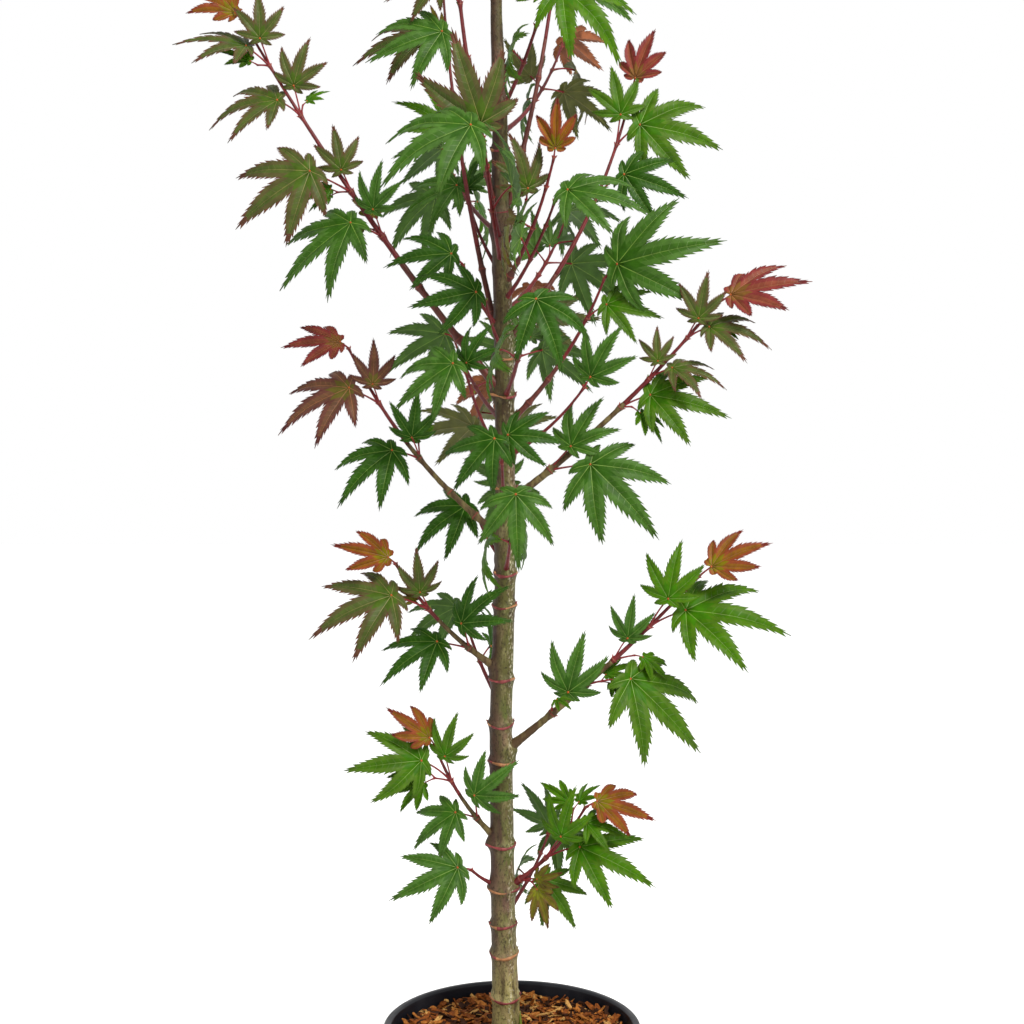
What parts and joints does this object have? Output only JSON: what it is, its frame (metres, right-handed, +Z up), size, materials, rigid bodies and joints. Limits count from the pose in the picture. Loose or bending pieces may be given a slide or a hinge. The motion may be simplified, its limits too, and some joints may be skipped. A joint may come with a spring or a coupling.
{
  "type": "potted japanese maple",
  "caption": "Whole young Japanese maple with lobed leaves on upswept boughs round one slim trunk, standing in a round black nursery pot filled with mulched mix.",
  "frame": {"origin": "middle of the pot's flat underside", "axes": "+Z up the trunk, -Y towards the front of the plant, +X to its right"},
  "size_m": [0.6271, 0.4568, 1.6103],
  "materials": {
    "pot": "satin black moulded plastic",
    "potting_mix": "damp shredded bark and wood chips",
    "trunk_bark": "smooth olive bark with ringed leaf scars",
    "bough_bark": "smooth olive-brown bark, crimson towards the tips",
    "young_bark": "smooth crimson young bark",
    "leaves": "satin green lobed leaves, bronze and orange-red at the shoot tips"
  },
  "bodies": {
    "root": {"bough_left_1": "bough_bark", "bough_left_2": "bough_bark", "bough_left_3": "bough_bark", "bough_left_4": "young_bark", "bough_left_5": "young_bark", "bough_left_6": "young_bark", "bough_right_2": "bough_bark", "bough_right_3": "bough_bark", "bough_right_4": "young_bark", "bough_right_5": "young_bark", "bough_right_6": "young_bark", "bough_right_7": "young_bark", "bough_top_left": "young_bark", "bough_top_right": "young_bark", "leaves_back_1": "leaves", "leaves_back_2": "leaves", "leaves_back_3": "leaves", "leaves_back_4": "leaves", "leaves_back_5": "leaves", "leaves_back_6": "leaves", "leaves_back_7": "leaves", "leaves_back_8": "leaves", "leaves_back_9": "leaves", "leaves_front_1": "leaves", "leaves_front_10": "leaves", "leaves_front_11": "leaves", "leaves_front_12": "leaves", "leaves_front_13": "leaves", "leaves_front_2": "leaves", "leaves_front_3": "leaves", "leaves_front_4": "leaves", "leaves_front_5": "leaves", "leaves_front_6": "leaves", "leaves_front_7": "leaves", "leaves_front_8": "leaves", "leaves_front_9": "leaves", "leaves_leader": "leaves", "leaves_left_1": "leaves", "leaves_left_2": "leaves", "leaves_left_3": "leaves", "leaves_left_4": "leaves", "leaves_left_5": "leaves", "leaves_left_6": "leaves", "leaves_left_spur": "leaves", "leaves_right_1": "leaves", "leaves_right_2": "leaves", "leaves_right_3": "leaves", "leaves_right_4": "leaves", "leaves_right_5": "leaves", "leaves_right_6": "leaves", "leaves_right_7": "leaves", "leaves_top_back": "leaves", "leaves_top_front": "leaves", "leaves_top_left": "leaves", "leaves_top_right": "leaves", "pot": "pot", "potting_mix": "potting_mix", "trunk": "trunk_bark"}
  },
  "joints": []
}
